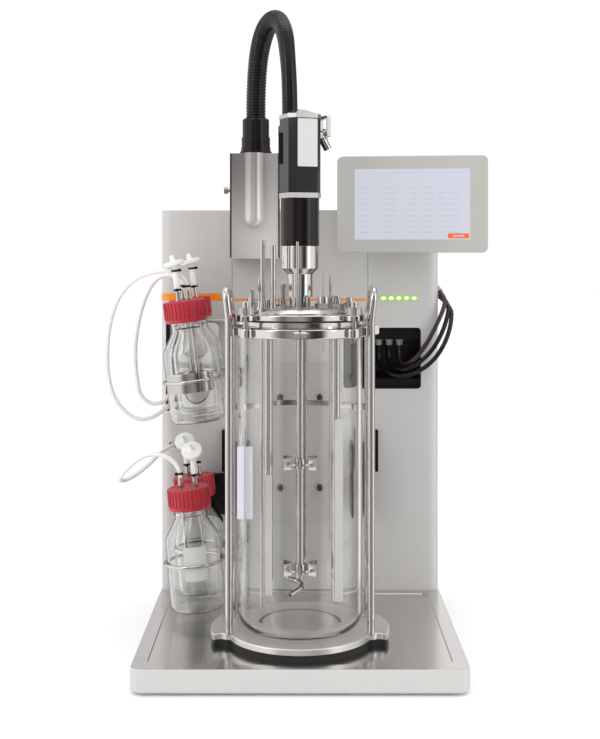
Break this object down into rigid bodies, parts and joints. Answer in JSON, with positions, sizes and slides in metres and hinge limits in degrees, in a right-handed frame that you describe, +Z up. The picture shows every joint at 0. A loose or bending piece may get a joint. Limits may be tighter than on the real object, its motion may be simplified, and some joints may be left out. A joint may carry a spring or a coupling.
{
  "type": "bench bioreactor",
  "caption": "Bench bioreactor: a glass stirred vessel with a top-drive motor stands before a control tower with reagent bottles, a tilting touch screen and a cable conduit.",
  "frame": {"origin": "middle of the base, on the bench under the feet, 3 mm below mount base_underside", "axes": "+Z up, the longest extent; +X to the operator's right; the front faces -Y"},
  "size_m": [0.5014, 0.4125, 0.8064],
  "materials": {
    "housing_plastic": "satin light grey moulded plastic",
    "rear_metal": "satin light grey paint",
    "foot_rubber": "matt black rubber",
    "tray_steel": "polished sheet steel",
    "orange_film": "glossy orange film",
    "light_lens": "green lens with white lamps",
    "black_moulding": "glossy black moulding",
    "socket_plastic": "grey plastic sockets",
    "rotor_plastic": "dark grey plastic",
    "plate_steel": "brushed steel plate",
    "screw_steel": "bright steel",
    "bracket_steel": "satin grey painted sheet steel",
    "arm_metal": "satin grey metal",
    "bezel_plastic": "satin warm grey plastic",
    "display_glass": "glossy pale display",
    "polished_steel": "polished stainless steel",
    "vessel_glass": "clear borosilicate glass",
    "gasket_rubber": "dark rubber gasket",
    "probe_steel": "polished stainless steel",
    "knob_steel": "knurled stainless steel",
    "motor_black": "black gloss coating",
    "motor_alloy": "machined alloy",
    "bottle_glass": "clear borosilicate glass",
    "red_caps": "ribbed red plastic",
    "white_filter": "white plastic filter discs",
    "hose_rubber": "black corrugated hose",
    "cable_rubber": "glossy black cable",
    "silicone": "translucent white silicone"
  },
  "bodies": {
    "unit": {"base_housing": "housing_plastic", "tower_housing": "housing_plastic", "tower_centre_panel": "housing_plastic", "rear_panel": "rear_metal", "base_feet": "foot_rubber", "drip_tray": "tray_steel", "accent_strip": "orange_film", "status_light_strip": "light_lens", "sensor_bay_liner": "black_moulding", "sensor_sockets": "socket_plastic", "pump_moulding": "black_moulding", "vessel_back_plate": "plate_steel", "panel_screws": "screw_steel", "dock_fittings": "black_moulding", "conduit_bracket": "bracket_steel", "conduit_gland": "black_moulding", "screen_arm": "arm_metal", "foot_pad": "foot_rubber", "foot_plate": "polished_steel", "hoop_handles": "polished_steel", "glass_vessel": "vessel_glass", "lid_gasket": "gasket_rubber", "clamp_ring": "polished_steel", "clamp_bolts": "screw_steel", "lid": "polished_steel", "port_fittings": "polished_steel", "lid_probes": "probe_steel", "drive_hub": "polished_steel", "motor_adapter": "polished_steel", "gearbox_body": "motor_black", "motor_body": "motor_black", "motor_end_plates": "motor_alloy", "motor_connector": "motor_alloy", "sparger_pipe": "probe_steel", "vessel_back_stay": "polished_steel", "reagent_bottles": "bottle_glass", "bottle_caps": "red_caps", "cap_ports": "probe_steel", "vent_filters": "white_filter", "bottle_holders": "polished_steel", "conduit_hose": "hose_rubber", "sensor_cable_1": "cable_rubber", "sensor_cable_2": "cable_rubber", "sensor_cable_3": "cable_rubber", "upper_outer_tube": "silicone", "upper_inner_tube": "silicone", "lower_loop_tube": "silicone"},
    "stirrer": {"stirrer_shaft": "polished_steel", "rushton_impellers": "polished_steel"},
    "swivel": {"screen_swivel_block": "arm_metal"},
    "screen": {"screen_housing": "bezel_plastic", "screen_glass": "display_glass"},
    "clamp_knob_1": {"clamp_knob_1": "knob_steel"},
    "clamp_knob_2": {"clamp_knob_2": "knob_steel"},
    "clamp_knob_3": {"clamp_knob_3": "knob_steel"},
    "clamp_knob_4": {"clamp_knob_4": "knob_steel"},
    "pump_rotor_lower": {"pump_rotor_lower": "rotor_plastic"},
    "pump_rotor_upper": {"pump_rotor_upper": "rotor_plastic"},
    "thumbscrew": {"bracket_thumbscrew": "screw_steel"},
    "connector_lever": {"connector_lever": "motor_alloy"}
  },
  "joints": [
    {"name": "stirrer_spin", "type": "hinge", "parent": "unit", "child": "stirrer", "pos_m": [0, -0.0925, 0.3], "axis": [0, 0, 1], "continuous": true},
    {"name": "screen_swivel", "type": "hinge", "parent": "unit", "child": "swivel", "pos_m": [0.1533, 0.088, 0.521], "axis": [0, 0, 1], "range_deg": [-11.5, 28.5]},
    {"name": "screen_tilt", "type": "hinge", "parent": "swivel", "child": "screen", "pos_m": [0.15064, 0.0702, 0.521], "axis": [0.989, -0.1478, 0], "range_deg": [-20, 5]},
    {"name": "clamp_knob_1_turn", "type": "hinge", "parent": "unit", "child": "clamp_knob_1", "pos_m": [0.06223, -0.03027, 0.425], "axis": [0, 0, 1], "continuous": true},
    {"name": "clamp_knob_2_turn", "type": "hinge", "parent": "unit", "child": "clamp_knob_2", "pos_m": [-0.06223, -0.03027, 0.425], "axis": [0, 0, 1], "continuous": true},
    {"name": "clamp_knob_3_turn", "type": "hinge", "parent": "unit", "child": "clamp_knob_3", "pos_m": [-0.06223, -0.15473, 0.425], "axis": [0, 0, 1], "continuous": true},
    {"name": "clamp_knob_4_turn", "type": "hinge", "parent": "unit", "child": "clamp_knob_4", "pos_m": [0.06223, -0.15473, 0.425], "axis": [0, 0, 1], "continuous": true},
    {"name": "pump_rotor_lower_spin", "type": "hinge", "parent": "unit", "child": "pump_rotor_lower", "pos_m": [-0.142, 0.1, 0.30656], "axis": [0, 1, 0], "continuous": true},
    {"name": "pump_rotor_upper_spin", "type": "hinge", "parent": "unit", "child": "pump_rotor_upper", "pos_m": [-0.142, 0.1, 0.368], "axis": [0, 1, 0], "continuous": true},
    {"name": "thumbscrew_turn", "type": "hinge", "parent": "unit", "child": "thumbscrew", "pos_m": [-0.095, 0.083, 0.5745], "axis": [1, 0, 0], "continuous": true},
    {"name": "connector_lever_swing", "type": "hinge", "parent": "unit", "child": "connector_lever", "pos_m": [0.03038, -0.07961, 0.634], "axis": [-0.3907, 0.9205, 0], "range_deg": [0, 90]}
  ]
}
